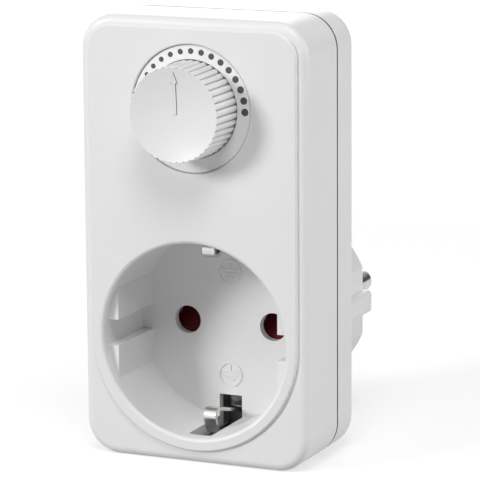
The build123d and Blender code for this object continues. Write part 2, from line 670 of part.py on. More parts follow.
with BuildPart() as knob:
    with BuildSketch(facing(KNOB_BASE)):
        with BuildLine():
            flutes(KNOB_BASE_RADIUS)
        make_face()
    with BuildSketch(facing(KNOB_FRONT)):
        with BuildLine():
            flutes(KNOB_TIP_RADIUS)
        make_face()
    loft(ruled=True)
    with BuildSketch(DIAL_SECTION):
        with BuildLine():
            Polyline(
                (KNOB_TIP_RADIUS - KNOB_RIM_RADIUS, KNOB_FRONT),
                (0, KNOB_FRONT),
                (0, KNOB_BASE),
                (KNOB_BASE_RADIUS + KNOB_GAP, KNOB_BASE),
                (KNOB_TIP_RADIUS + KNOB_GAP / 2, KNOB_FRONT - KNOB_RIM_RADIUS),
                close=True,
            )
        make_face()
    revolve(axis=DIAL_AXIS, mode=Mode.INTERSECT)
    with BuildSketch(facing(KNOB_BASE)):
        with Locations(DIAL_SPOT):
            Circle(CAVITY_RADIUS)
    extrude(amount=KNOB_CAVITY_TOP - KNOB_BASE, mode=Mode.SUBTRACT)
    with BuildSketch(facing(HUB_BOTTOM)):
        with Locations(DIAL_SPOT):
            Circle(HUB_RADIUS)
    extrude(amount=KNOB_CAVITY_TOP - HUB_BOTTOM)
    with BuildSketch(facing(HUB_BOTTOM)):
        with Locations(DIAL_SPOT):
            Circle(SHAFT_RADIUS + FIT_CLEARANCE)
            with Locations((0, -SHAFT_FLAT - FIT_CLEARANCE - SHAFT_RADIUS)):
                Rectangle(2 * HUB_RADIUS, 2 * SHAFT_RADIUS, mode=Mode.SUBTRACT)
    extrude(amount=SHAFT_TOP - HUB_BOTTOM, mode=Mode.SUBTRACT)
    with Locations(DISH_CENTRE):
        Sphere(DISH_SPHERE, mode=Mode.SUBTRACT)
    add(arrow_groove.part, mode=Mode.SUBTRACT)
    add(arrow.part)
save(knob, "knob")

# Potentiometer: case with its bushing, base, track and terminals stay; shaft and wiper turn
POT_FLOOR = BOARD_FRONT + POT_BASE_THICKNESS
TRACK_TOP = POT_FLOOR + TRACK_THICKNESS
POT_PIN_Z = KNOB_AXIS_ABOVE - POT_RADIUS - POT_PIN_REACH / 2
POT_PINS = [(step * POT_PIN_PITCH, POT_PIN_Z) for step in (-1, 0, 1)]
with BuildPart() as pot_case:
    with BuildSketch(facing(POT_FLOOR)):
        with Locations(DIAL_SPOT):
            Circle(POT_RADIUS)
    extrude(amount=FRONT_INSIDE - POT_FLOOR)
    with BuildSketch(facing(FRONT_INSIDE)):
        with Locations(DIAL_SPOT):
            Circle(BUSHING_RADIUS)
    extrude(amount=BUSHING_TOP - FRONT_INSIDE)
    with BuildSketch(facing(POT_FLOOR)):
        with Locations(DIAL_SPOT):
            Circle(POT_RADIUS - POT_WALL)
    extrude(amount=FRONT_INSIDE - POT_WALL - POT_FLOOR, mode=Mode.SUBTRACT)
    with BuildSketch(facing(POT_FLOOR)):
        with Locations(DIAL_SPOT):
            Circle(SHAFT_RADIUS + RUNNING_CLEARANCE)
    extrude(amount=BUSHING_TOP - POT_FLOOR, mode=Mode.SUBTRACT)
save(pot_case, "pot_case")

with BuildPart() as pot_base:
    with BuildSketch(facing(BOARD_FRONT)):
        with Locations(DIAL_SPOT):
            Circle(POT_RADIUS)
        with Locations((0, KNOB_AXIS_ABOVE - (POT_RADIUS + POT_PIN_REACH) / 2)):
            Rectangle(2 * POT_PIN_PITCH + 3 * POT_PIN_WIDTH, POT_RADIUS + POT_PIN_REACH)
        with Locations(*POT_PINS):
            Rectangle(
                POT_PIN_WIDTH + 2 * FIT_CLEARANCE,
                POT_PIN_WIDTH / 2 + 2 * FIT_CLEARANCE,
                mode=Mode.SUBTRACT,
            )
    extrude(amount=POT_BASE_THICKNESS)
save(pot_base, "pot_base")

with BuildPart() as pot_terminals:
    with BuildSketch(facing(BOARD_BACK)):
        with Locations(*POT_PINS):
            Rectangle(POT_PIN_WIDTH, POT_PIN_WIDTH / 2)
    extrude(amount=POT_FLOOR - BOARD_BACK)
save(pot_terminals, "pot_terminals")

with BuildPart() as pot_track:
    with BuildSketch(facing(POT_FLOOR)):
        with Locations(DIAL_SPOT):
            Circle(WIPER_RADIUS)
            Circle(WIPER_RADIUS - TRACK_WIDTH, mode=Mode.SUBTRACT)
    extrude(amount=TRACK_THICKNESS)
save(pot_track, "pot_track")

WIPER_BOTTOM = TRACK_TOP + WIPER_THICKNESS
with BuildPart() as pot_shaft:
    with BuildSketch(facing(TRACK_TOP + SLACK)):
        with Locations(DIAL_SPOT):
            Circle(SHAFT_RADIUS)
    extrude(amount=BUSHING_TOP - TRACK_TOP - SLACK)
    with BuildSketch(facing(BUSHING_TOP)):
        with Locations(DIAL_SPOT):
            Circle(SHAFT_RADIUS)
            with Locations((0, -SHAFT_FLAT - SHAFT_RADIUS)):
                Rectangle(2 * HUB_RADIUS, 2 * SHAFT_RADIUS, mode=Mode.SUBTRACT)
    extrude(amount=SHAFT_TOP - BUSHING_TOP)
save(pot_shaft, "pot_shaft")

with BuildPart() as pot_wiper:
    with BuildSketch(facing(WIPER_BOTTOM)):
        with Locations(DIAL_SPOT):
            Circle(WIPER_RADIUS)
            Circle(SHAFT_RADIUS + FIT_CLEARANCE, mode=Mode.SUBTRACT)
    extrude(amount=WIPER_THICKNESS)
    with BuildSketch(facing(TRACK_TOP + FIT_CLEARANCE)):
        with Locations((0, KNOB_AXIS_ABOVE + WIPER_RADIUS - TRACK_WIDTH / 2)):
            Rectangle(TRACK_WIDTH / 2, TRACK_WIDTH / 2)
    extrude(amount=WIPER_BOTTOM - TRACK_TOP - FIT_CLEARANCE)
save(pot_wiper, "pot_wiper")

with BuildPart() as pot_washer:
    with BuildSketch(facing(DIAL_SEAT)):
        with Locations(DIAL_SPOT):
            Circle(WASHER_RADIUS)
            Circle(BUSHING_RADIUS + FIT_CLEARANCE, mode=Mode.SUBTRACT)
    extrude(amount=WASHER_THICKNESS)
save(pot_washer, "pot_washer")

with BuildPart() as pot_nut:
    with BuildSketch(facing(DIAL_SEAT + WASHER_THICKNESS)):
        with Locations(DIAL_SPOT):
            RegularPolygon(NUT_ACROSS / 2, 6, major_radius=False)
            Circle(BUSHING_RADIUS + FIT_CLEARANCE, mode=Mode.SUBTRACT)
    extrude(amount=NUT_THICKNESS)
save(pot_nut, "pot_nut")

# Circuit board, notched beside the upper screw posts and hung from four posts behind the front
with BuildPart() as circuit_board:
    with BuildSketch(facing(BOARD_BACK)):
        with Locations((0, (BOARD_BOTTOM + BOARD_TOP) / 2)):
            RectangleRounded(2 * BOARD_HALF, BOARD_TOP - BOARD_BOTTOM, BOARD_CORNER)
        with Locations(*[(side * BOARD_HALF, BOARD_TOP) for side in SIDES]):
            notch = HOUSING_POST_RADIUS + 2 * SLACK
            Rectangle(
                2 * (BOARD_HALF - POST_X + notch),
                2 * (BOARD_TOP - POST_SPOTS[0][1] + notch),
                mode=Mode.SUBTRACT,
            )
        with Locations(*BOARD_POSTS):
            Circle(SCREW_RADIUS + FIT_CLEARANCE, mode=Mode.SUBTRACT)
        with Locations(*POT_PINS):
            Rectangle(
                POT_PIN_WIDTH + 2 * FIT_CLEARANCE,
                POT_PIN_WIDTH / 2 + 2 * FIT_CLEARANCE,
                mode=Mode.SUBTRACT,
            )
        with Locations(SINK_SCREW_SPOT):
            Circle(SINK_SCREW_RADIUS + FIT_CLEARANCE, mode=Mode.SUBTRACT)
    extrude(amount=BOARD_THICKNESS)
save(circuit_board, "circuit_board")

board_screws = screws(
    BOARD_POSTS,
    BOARD_BACK,
    1,
    SCREW_HEAD_RADIUS,
    SCREW_HEAD_HEIGHT,
    SCREW_RADIUS,
    BOARD_THICKNESS + SCREW_BITE - SLACK,
)
save(board_screws, "board_screws")

# Choke: a ring core stood off the board by its own winding
CORE_FRONT = BOARD_BACK - CHOKE_WIRE
with BuildPart() as choke_core:
    rod(CHOKE_SPOT, CORE_FRONT - CHOKE_HEIGHT, CORE_FRONT, CHOKE_RADIUS)
    rod(CHOKE_SPOT, CORE_FRONT - CHOKE_HEIGHT, CORE_FRONT, CHOKE_BORE, Mode.SUBTRACT)
save(choke_core, "choke_core")

with BuildPart() as choke_winding:
    loop_inside = CHOKE_BORE - RUNNING_CLEARANCE
    loop_outside = CHOKE_RADIUS + FIT_CLEARANCE
    loop_middle = (loop_inside + loop_outside) / 2
    for turn in range(CHOKE_TURNS):
        with BuildPart(mode=Mode.PRIVATE) as loop:
            with Locations((loop_middle, 0, 0)):
                Box(loop_outside - loop_inside + 2 * CHOKE_WIRE, CHOKE_HEIGHT + 2 * CHOKE_WIRE, CHOKE_WIRE)
                Box(loop_outside - loop_inside, CHOKE_HEIGHT, CHOKE_WIRE, mode=Mode.SUBTRACT)
        centre = Pos(CHOKE_SPOT[0], CHOKE_HEIGHT / 2 - CORE_FRONT, CHOKE_SPOT[1])
        add(loop.part.moved(centre * Rot(0, turn * DEGREES_ROUND / CHOKE_TURNS, 0)))
save(choke_winding, "choke_winding")

# Capacitors: one across the mains and one that sets the timing
with BuildPart() as film_capacitor:
    with Locations((FILM_CAP_SPOT[0], FILM_CAP_HEIGHT / 2 - BOARD_BACK, FILM_CAP_SPOT[1])):
        Box(FILM_CAP_LENGTH, FILM_CAP_HEIGHT, FILM_CAP_WIDTH)
    fillet(film_capacitor.edges().filter_by(Axis.Y), COMPONENT_ROUND)
save(film_capacitor, "film_capacitor")

with BuildPart() as timing_capacitor:
    with Locations((SMALL_CAP_SPOT[0], SMALL_CAP_HEIGHT / 2 - BOARD_BACK, SMALL_CAP_SPOT[1])):
        Box(SMALL_CAP_LENGTH, SMALL_CAP_HEIGHT, SMALL_CAP_WIDTH)
    fillet(timing_capacitor.edges().filter_by(Axis.Y), COMPONENT_ROUND)
save(timing_capacitor, "timing_capacitor")


def axial(spot, length, radius):
    """Round component lying along Z behind the board, its two leads bent over to the board."""
    height = BOARD_BACK - radius - SLACK
    with BuildPart() as component:
        with Locations((spot[0], -height, spot[1])):
            Cylinder(radius, length)
            Cylinder(LEAD_RADIUS, length + 2 * LEAD_REACH)
        for side in SIDES:
            foot = (spot[0], spot[1] + side * (length / 2 + LEAD_REACH - LEAD_RADIUS))
            rod(foot, height - LEAD_RADIUS, BOARD_BACK, LEAD_RADIUS)
    return component


for number, spot in enumerate(RESISTOR_SPOTS, 1):
    save(axial(spot, RESISTOR_LENGTH, RESISTOR_RADIUS), f"resistor_{number}")
save(axial(DIAC_SPOT, DIAC_LENGTH, DIAC_RADIUS), "diac")

# Triac on its heat sink, held by a screw through its tab
SINK_BACK = BOARD_BACK - SINK_SHEET
SINK_RIGHT = BOARD_HALF - SINK_INSET
SINK_LEFT = SINK_RIGHT - SINK_WIDTH
with BuildPart() as heat_sink:
    block(SINK_LEFT, SINK_RIGHT, SINK_BOTTOM, SINK_BOTTOM + SINK_HEIGHT, SINK_BACK, BOARD_BACK)
    block(
        SINK_RIGHT - SINK_SHEET,
        SINK_RIGHT,
        SINK_BOTTOM,
        SINK_BOTTOM + SINK_HEIGHT,
        SINK_BACK - SINK_FIN,
        SINK_BACK,
    )
    rod(SINK_SCREW_SPOT, SINK_BACK, BOARD_BACK, SINK_SCREW_RADIUS + FIT_CLEARANCE, Mode.SUBTRACT)
save(heat_sink, "heat_sink")

TRIAC_X = SINK_SCREW_SPOT[0]
TRIAC_TOP = SINK_BOTTOM + TRIAC_HEIGHT
with BuildPart() as triac:
    half = TRIAC_WIDTH / 2
    block(TRIAC_X - half, TRIAC_X + half, SINK_BOTTOM, TRIAC_TOP, SINK_BACK - TRIAC_BODY, SINK_BACK)
    block(
        TRIAC_X - half,
        TRIAC_X + half,
        TRIAC_TOP,
        TRIAC_TOP + TRIAC_TAB_HEIGHT,
        SINK_BACK - TRIAC_TAB,
        SINK_BACK,
    )
    rod(SINK_SCREW_SPOT, SINK_BACK - TRIAC_TAB, SINK_BACK, SINK_SCREW_RADIUS + SLACK, Mode.SUBTRACT)
    for step in (-1, 0, 1):
        lead_left = TRIAC_X + step * TRIAC_LEAD_PITCH - TRIAC_LEAD / 2
        lead_end = SINK_BOTTOM - TRIAC_LEAD_REACH
        lead_height = SINK_BACK - TRIAC_LEAD_RISE
        block(
            lead_left,
            lead_left + TRIAC_LEAD,
            lead_end,
            SINK_BOTTOM,
            lead_height - TRIAC_LEAD_SHEET,
            lead_height,
        )
        block(
            lead_left,
            lead_left + TRIAC_LEAD,
            lead_end,
            lead_end + TRIAC_LEAD_SHEET,
            lead_height,
            BOARD_BACK,
        )
save(triac, "triac")

heatsink_screw = screws(
    [SINK_SCREW_SPOT],
    SINK_BACK - TRIAC_TAB,
    1,
    SINK_HEAD_RADIUS,
    SCREW_HEAD_HEIGHT,
    SINK_SCREW_RADIUS,
    TRIAC_TAB + SINK_SHEET + BOARD_THICKNESS,
)
save(heatsink_screw, "heatsink_screw")

# Fuse: a glass tube between two end caps, held in two spring clips
FUSE_X, FUSE_Z = FUSE_SPOT
FUSE_HEIGHT = BOARD_BACK - FUSE_CLIP_SHEET - FUSE_STAND - FUSE_RADIUS
TUBE_RADIUS = FUSE_RADIUS - FUSE_CAP_WALL - FIT_CLEARANCE
with BuildPart() as fuse_tube:
    with Locations((FUSE_X, -FUSE_HEIGHT, FUSE_Z)):
        Cylinder(TUBE_RADIUS, FUSE_LENGTH - 2 * FUSE_CAP_WALL, rotation=(0, 90, 0))
        Cylinder(TUBE_RADIUS - FUSE_CAP_WALL, FUSE_LENGTH, rotation=(0, 90, 0), mode=Mode.SUBTRACT)
save(fuse_tube, "fuse_tube")

with BuildPart() as fuse_caps:
    for side in SIDES:
        with Locations((FUSE_X + side * (FUSE_LENGTH - FUSE_CAP_LENGTH) / 2, -FUSE_HEIGHT, FUSE_Z)):
            Cylinder(FUSE_RADIUS, FUSE_CAP_LENGTH, rotation=(0, 90, 0))
    with Locations((FUSE_X, -FUSE_HEIGHT, FUSE_Z)):
        Cylinder(
            FUSE_RADIUS - FUSE_CAP_WALL,
            FUSE_LENGTH - 2 * FUSE_CAP_WALL,
            rotation=(0, 90, 0),
            mode=Mode.SUBTRACT,
        )
save(fuse_caps, "fuse_caps")

CLIP_ARM = FUSE_RADIUS + FIT_CLEARANCE + FUSE_CLIP_SHEET
fuse_clip = bent_strip(
    [
        (-FUSE_HEIGHT + FUSE_RADIUS / 2, FUSE_Z + CLIP_ARM),
        (-BOARD_BACK, FUSE_Z + CLIP_ARM),
        (-BOARD_BACK, FUSE_Z - CLIP_ARM),
        (-FUSE_HEIGHT + FUSE_RADIUS / 2, FUSE_Z - CLIP_ARM),
    ],
    FUSE_CLIP_BEND,
    FUSE_CLIP_SHEET,
    FUSE_CLIP_WIDTH,
)
with BuildPart() as fuse_clips:
    for side in SIDES:
        add(fuse_clip.part.moved(Pos(FUSE_X + side * (FUSE_LENGTH - FUSE_CAP_LENGTH) / 2, 0, 0)))
save(fuse_clips, "fuse_clips")

# Plug pins with flanges behind the boss's face, and a sleeve in front of each for the socket
FLANGE_TOP = BOSS_FACE_WALL + PIN_FLANGE_HEIGHT
SLEEVE_BOTTOM = FLANGE_TOP + DIVIDER
SLEEVE_TOP = BACK_INSIDE - SLEEVE_DROP
TAILS = {-1: SLEEVE_BOTTOM, 1: FLANGE_TOP + PIN_TAIL_LENGTH}
NAMES = {-1: "left", 1: "right"}
for side in SIDES:
    spot = (side * PIN_X, 0)
    with BuildPart() as pin:
        rod(spot, -PIN_LENGTH, 0, PIN_RADIUS)
        fillet(edges_at(pin, -PIN_LENGTH), PIN_TIP_RADIUS)
        rod(spot, 0, BOSS_FACE_WALL, PIN_ROOT_RADIUS)
        rod(spot, BOSS_FACE_WALL, FLANGE_TOP, PIN_FLANGE_RADIUS)
        rod(spot, FLANGE_TOP, TAILS[side], PIN_TAIL_RADIUS)
    save(pin, f"pin_{NAMES[side]}")
    with BuildPart() as sleeve:
        rod(spot, SLEEVE_BOTTOM, SLEEVE_TOP, PIN_RADIUS + SLEEVE_GRIP + SLEEVE_WALL)
        rod(spot, SLEEVE_BOTTOM + SLEEVE_BASE, SLEEVE_TOP, PIN_RADIUS + SLEEVE_GRIP, Mode.SUBTRACT)
        for width, depth in ((SLEEVE_SLIT, 3 * PIN_RADIUS), (3 * PIN_RADIUS, SLEEVE_SLIT)):
            with Locations((spot[0], SLEEVE_SLIT_LENGTH / 2 - SLEEVE_TOP, 0)):
                Box(width, SLEEVE_SLIT_LENGTH, depth, mode=Mode.SUBTRACT)
    save(sleeve, f"contact_sleeve_{NAMES[side]}")

# Contact carrier: an insulating plug that fills the boss, with a flange that guides the shutter
SLEEVE_ROOM = PIN_RADIUS + SLEEVE_GRIP + SLEEVE_WALL + SLACK
RAIL_INSIDE = SHUTTER_HALF_WIDTH + SLACK
FLANGE_HALF = RAIL_INSIDE + RAIL_WIDTH + CARRIER_SIDE
RAMP_LEFT = PIN_X - RAMP_WIDTH / 2
RAMP_RIGHT = PIN_X + RAMP_WIDTH / 2
WIRE_ROOM = WIRE_RADIUS + SLACK
with BuildPart() as contact_carrier:
    rod((0, 0), FLANGE_TOP, BACK_INSIDE, BOSS_BORE_RADIUS - SLACK)
    block(-FLANGE_HALF, FLANGE_HALF, -CARRIER_FLANGE_DROP, CARRIER_FLANGE_RISE, BACK_INSIDE, CARRIER_TOP)
    for side in SIDES:
        spot = (side * PIN_X, 0)
        rod(spot, SLEEVE_BOTTOM, CARRIER_TOP, SLEEVE_ROOM, Mode.SUBTRACT)
        rod(spot, FLANGE_TOP, TAILS[side] + SLACK, PIN_TAIL_RADIUS + SLACK, Mode.SUBTRACT)
        rail = sorted((side * RAIL_INSIDE, side * (RAIL_INSIDE + RAIL_WIDTH)))
        block(*rail, -SHUTTER_HALF_HEIGHT - SHUTTER_TRAVEL - RAIL_WIDTH, RAIL_RISE, CARRIER_TOP, RAIL_TOP)
        pocket = sorted((side * (RAMP_LEFT - SLACK), side * (RAMP_RIGHT + SLACK)))
        block(
            *pocket,
            -SHUTTER_HALF_HEIGHT - SHUTTER_TRAVEL - 2 * SLACK,
            SHUTTER_HALF_HEIGHT + SLACK,
            BACK_INSIDE,
            CARRIER_TOP,
            Mode.SUBTRACT,
        )
    # Groove for the earth strip, and ways for the two wires from the right pin and its sleeve
    groove = EARTH_WIDTH / 2 + SLACK
    block(
        -groove,
        groove,
        -CARRIER_FLANGE_DROP,
        CARRIER_FLANGE_RISE,
        CARRIER_TOP - EARTH_SHEET - RUNNING_CLEARANCE,
        CARRIER_TOP,
        Mode.SUBTRACT,
    )
    block(
        WIRE_LOAD_X - WIRE_ROOM,
        WIRE_LINE_X + WIRE_ROOM,
        WIRE_RISE - WIRE_BEND,
        WIRE_RISE + WIRE_ROOM,
        FLANGE_TOP,
        CARRIER_TOP,
        Mode.SUBTRACT,
    )
    block(
        WIRE_LOAD_X - WIRE_ROOM,
        WIRE_LINE_X + WIRE_ROOM,
        WIRE_RISE,
        WIRE_RISE + WIRE_BEND,
        BACK_INSIDE,
        CARRIER_TOP,
        Mode.SUBTRACT,
    )
    block(
        PIN_X - WIRE_ROOM,
        WIRE_LINE_X + WIRE_ROOM,
        0,
        WIRE_RISE,
        FLANGE_TOP,
        LINE_HEIGHT + WIRE_ROOM + RUNNING_CLEARANCE,
        Mode.SUBTRACT,
    )
    block(
        WIRE_LOAD_X - WIRE_ROOM,
        LOAD_START_X + WIRE_ROOM,
        PIN_RADIUS,
        WIRE_RISE,
        LOAD_HEIGHT - WIRE_ROOM,
        LOAD_HEIGHT + WIRE_ROOM,
        Mode.SUBTRACT,
    )
    for spot in CARRIER_SCREWS:
        rod(spot, BACK_INSIDE, CARRIER_TOP, SCREW_RADIUS + FIT_CLEARANCE, Mode.SUBTRACT)
save(contact_carrier, "contact_carrier")

carrier_screws = screws(
    CARRIER_SCREWS,
    CARRIER_TOP,
    -1,
    SCREW_HEAD_RADIUS,
    SCREW_HEAD_HEIGHT,
    SCREW_RADIUS,
    CARRIER_FLANGE + SCREW_BITE - SLACK,
)
save(carrier_screws, "carrier_screws")

# Shutter: a bridge across both pin holes with a sloping ramp under each, and its return spring
RAMP_BOTTOM = SHUTTER_FRONT - RAMP_DEPTH
with BuildPart() as shutter_slider:
    block(
        -SHUTTER_HALF_WIDTH,
        SHUTTER_HALF_WIDTH,
        -SHUTTER_HALF_HEIGHT,
        SHUTTER_HALF_HEIGHT,
        SHUTTER_BACK,
        SHUTTER_FRONT,
    )
    for side in SIDES:
        window = sorted((side * RAMP_LEFT, side * RAMP_RIGHT))
        block(
            *window,
            -SHUTTER_HALF_HEIGHT,
            SHUTTER_HALF_HEIGHT,
            SHUTTER_BACK,
            SHUTTER_FRONT,
            Mode.SUBTRACT,
        )
        with BuildSketch(Plane.YZ.offset(window[0])):
            with BuildLine():
                Polyline(
                    (-RAMP_BOTTOM, -SHUTTER_HALF_HEIGHT),
                    (-SHUTTER_FRONT, -SHUTTER_HALF_HEIGHT),
                    (-SHUTTER_FRONT, RAMP_LAND - SHUTTER_HALF_HEIGHT),
                    (-RAMP_BOTTOM, SHUTTER_HALF_HEIGHT),
                    close=True,
                )
            make_face()
        extrude(amount=RAMP_WIDTH)
save(shutter_slider, "shutter_slider")

with BuildPart() as shutter_spring:
    with BuildLine() as coil:
        Helix(
            pitch=(SPRING_LENGTH - SPRING_WIRE) / SPRING_TURNS,
            height=SPRING_LENGTH - SPRING_WIRE,
            radius=SPRING_RADIUS,
            center=(0, -(SHUTTER_FRONT + SHUTTER_BACK) / 2, SPRING_SEAT + SPRING_WIRE / 2),
        )
    with BuildSketch(Plane(origin=coil.line @ 0, z_dir=coil.line % 0)):
        Circle(SPRING_WIRE / 2)
    sweep(is_frenet=True)
save(shutter_spring, "shutter_spring")

# Earth parts: a bracket from side contact to side contact, with an arm that lines each clip's slot and a
# sprung clip with a folded nose riveted to each end
EARTH_TOP = CARRIER_TOP
CLIP_SEAT = EARTH_TOP + ARM_SHEET
LEG_TIP = -EARTH_LEG_INSET
earth_bracket = bent_strip(
    [(LEG_TIP, LEG_OUTSIDE), (-EARTH_TOP, LEG_OUTSIDE), (-EARTH_TOP, -LEG_OUTSIDE), (LEG_TIP, -LEG_OUTSIDE)],
    EARTH_BEND,
    EARTH_SHEET,
    EARTH_WIDTH,
)
with BuildPart() as riveted_bracket:
    add(earth_bracket.part)
    for side in SIDES:
        rod(
            (0, side * RIVET_OFFSET),
            EARTH_TOP - EARTH_SHEET,
            EARTH_TOP,
            RIVET_RADIUS + FIT_CLEARANCE,
            Mode.SUBTRACT,
        )
save(riveted_bracket, "earth_bracket")

earth_arm = bent_strip(
    [
        (-EARTH_TOP, CLIP_FOOT_OFFSET),
        (-EARTH_TOP, slot_reach - SLACK),
        (CLIP_SLOT_STOP + SLACK - FRONT_HEIGHT, slot_reach - SLACK),
    ],
    ARM_BEND,
    ARM_SHEET,
    CLIP_SLOT_WIDTH - 2 * SLACK,
)
with BuildPart() as riveted_arm:
    add(earth_arm.part)
    rod((0, RIVET_OFFSET), EARTH_TOP, CLIP_SEAT, RIVET_RADIUS + FIT_CLEARANCE, Mode.SUBTRACT)
save(riveted_arm, "earth_arm_top")
with BuildPart() as mirrored_arm:
    mirror(riveted_arm.part, about=Plane.XY)
save(mirrored_arm, "earth_arm_bottom")

clip_strip = bent_strip(
    [
        (-CLIP_SEAT, CLIP_FOOT_OFFSET),
        (-CLIP_SEAT, CLIP_ROOT_OFFSET),
        (CLIP_CREST_DROP - FRONT_HEIGHT, CLIP_CREST_OFFSET),
        (CLIP_TIP_DROP - FRONT_HEIGHT, CLIP_TIP_OFFSET),
    ],
    CLIP_BEND,
    CLIP_SHEET,
    CLIP_WIDTH,
)
with BuildPart() as earth_clip:
    add(clip_strip.part)
    rod(
        (0, RIVET_OFFSET),
        CLIP_SEAT,
        CLIP_SEAT + CLIP_SHEET,
        RIVET_RADIUS + FIT_CLEARANCE,
        Mode.SUBTRACT,
    )
save(earth_clip, "earth_clip_top")
with BuildPart() as mirrored_clip:
    mirror(earth_clip.part, about=Plane.XY)
save(mirrored_clip, "earth_clip_bottom")

with BuildPart() as earth_rivets:
    for side in SIDES:
        spot = (0, side * RIVET_OFFSET)
        rod(spot, EARTH_TOP - EARTH_SHEET, CLIP_SEAT + CLIP_SHEET, RIVET_RADIUS)
        rod(spot, CLIP_SEAT + CLIP_SHEET, CLIP_SEAT + CLIP_SHEET + RIVET_HEAD, RIVET_HEAD_RADIUS)
save(earth_rivets, "earth_rivets")


def wire(points):
    """Round insulated wire along (X, height, Z) points with rounded corners."""
    with BuildPart() as run:
        with BuildLine() as way:
            FilletPolyline(*[(x, -height, z) for x, height, z in points], radius=WIRE_BEND)
        with BuildSketch(Plane(origin=way.line @ 0, z_dir=way.line % 0)):
            Circle(WIRE_RADIUS)
        sweep()
    return run


WIRE_BRIDGE = CARRIER_TOP + WIRE_RADIUS + 2 * SLACK
wire_line = wire(
    [
        (PIN_X, LINE_HEIGHT, PIN_TAIL_RADIUS + RUNNING_CLEARANCE),
        (WIRE_LINE_X, LINE_HEIGHT, WIRE_RISE),
        (WIRE_LINE_X, WIRE_BRIDGE, WIRE_RISE),
        (WIRE_LINE_X, WIRE_BRIDGE, WIRE_BOARD_Z),
        (WIRE_LINE_X, BOARD_BACK, WIRE_BOARD_Z),
    ]
)
save(wire_line, "wire_line")
wire_load = wire(
    [
        (LOAD_START_X, LOAD_HEIGHT, LOAD_START_Z),
        (WIRE_LOAD_X, LOAD_HEIGHT, WIRE_RISE),
        (WIRE_LOAD_X, WIRE_BRIDGE, WIRE_RISE),
        (WIRE_LOAD_X, WIRE_BRIDGE, WIRE_BOARD_Z),
        (WIRE_LOAD_X, BOARD_BACK, WIRE_BOARD_Z),
    ]
)
save(wire_load, "wire_load")
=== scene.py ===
"""A plug-in rotary dimmer with an earthed socket in front and a two-pin plug behind.

Metres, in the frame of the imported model: X to the right, Y into the wall, Z up, origin midway between the
plug's pins in the plane of the boss's end.
"""
import json
import math

import bpy
from mathutils import Matrix, Vector


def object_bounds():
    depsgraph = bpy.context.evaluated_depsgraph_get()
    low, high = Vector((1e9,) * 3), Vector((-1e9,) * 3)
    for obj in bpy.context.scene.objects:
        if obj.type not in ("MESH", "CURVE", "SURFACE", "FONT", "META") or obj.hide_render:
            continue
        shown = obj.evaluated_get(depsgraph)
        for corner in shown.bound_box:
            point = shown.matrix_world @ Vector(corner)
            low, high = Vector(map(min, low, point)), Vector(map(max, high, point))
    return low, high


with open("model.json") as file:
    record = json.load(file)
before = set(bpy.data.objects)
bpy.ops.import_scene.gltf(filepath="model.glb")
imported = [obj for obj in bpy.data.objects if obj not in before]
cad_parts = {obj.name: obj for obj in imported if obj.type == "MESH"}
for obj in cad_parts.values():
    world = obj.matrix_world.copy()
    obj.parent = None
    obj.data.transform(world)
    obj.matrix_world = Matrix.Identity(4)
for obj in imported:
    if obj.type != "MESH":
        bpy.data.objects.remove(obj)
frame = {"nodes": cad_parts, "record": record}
cad_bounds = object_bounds()

MM = 0.001
MICRON = 0.001 * MM

# Places of the painted shades on the covers and the knob
SEAM_MIDDLE = -32.825 * MM
SEAM_HALF = 0.27 * MM
SEAM_FADE = 0.03 * MM
CUP_OUTSIDE = 22.8 * MM
CUP_FADE = 0.2 * MM
KNOB_AXIS = 46.7 * MM
KNOB_FACE = cad_bounds[0][1]
KNOB_LENGTH = 9.1 * MM
VALLEY_AT_FACE = 9.0 * MM
VALLEY_AT_BASE = 9.25 * MM
FLANK_START = 0.1 * MM
FLANK_FULL = 0.4 * MM
DISH_CLEAR = -0.12 * MM
DISH_EDGE = -0.04 * MM
VALLEY_FULL = 0.03 * MM
VALLEY_FADE = 0.3 * MM
# Strongest share of the painted shade in the knob's flute valleys
PAINTED_VALLEY_SHADE = 0.75

# Surface patterns, in features per metre, one number for each axis where they are streaks
CLOUDS = 60
SMEARS = 170
TARNISH = 240
SPECKS = 5200
ALONG_X = (40, 900, 900)
ALONG_Y = (900, 60, 900)
ALONG_YZ = (900, 60, 60)
WEAVE = (2500, 600, 900)
CROSS_WEAVE = (600, 600, 4200)
GLASS_LINES = (60, 1500, 1500)

# Where a noise has most of its values, and how rough the smooth to the rough spots of a plastic are
NOISE_LOW = 0.3
NOISE_HIGH = 0.7
SATIN = (0.26, 0.35)
SILKY = (0.30, 0.38)
PLAIN = (0.32, 0.41)
SOFT = (0.36, 0.45)
DULL = (0.41, 0.50)
MATT = (0.46, 0.55)
ROUGH = (0.56, 0.65)

# Metal: the tarnish's share of the colour, and the depth and darkness of the painted shade on what lies in a
# slot
TARNISHED = 0.82
SLOT_DEPTH = 3 * MM
SLOT_PAINTED_SHADE = 0.2
STREAK_ROUGH = 0.14

# Floor and camera
CORNERS = ((-1, -1), (1, -1), (1, 1), (-1, 1))
FLOOR_HALF = 3.0
FLOOR_DROP = 0.02 * MM
FLOOR_NEAR = 0.2
FLOOR_FAR = 0.9
FLOOR_COLOUR = 0.45
FLOOR_ROUGH = 0.9
FLOOR_GLOW = 0.60
SUBJECT = (0, -0.04, 0.02)
CAMERA_AIM = (5.96 * MM, -39 * MM, 19.28 * MM)
CAMERA_DISTANCE = 597.5 * MM
CAMERA_AZIMUTH = math.radians(24.0)
CAMERA_ELEVATION = math.radians(11.4)
CAMERA_ROLL = math.radians(-0.41)
FOCAL_PIXELS = 2998
PHOTO_PIXELS = 480
SENSOR_WIDTH = 36


# Shader maths

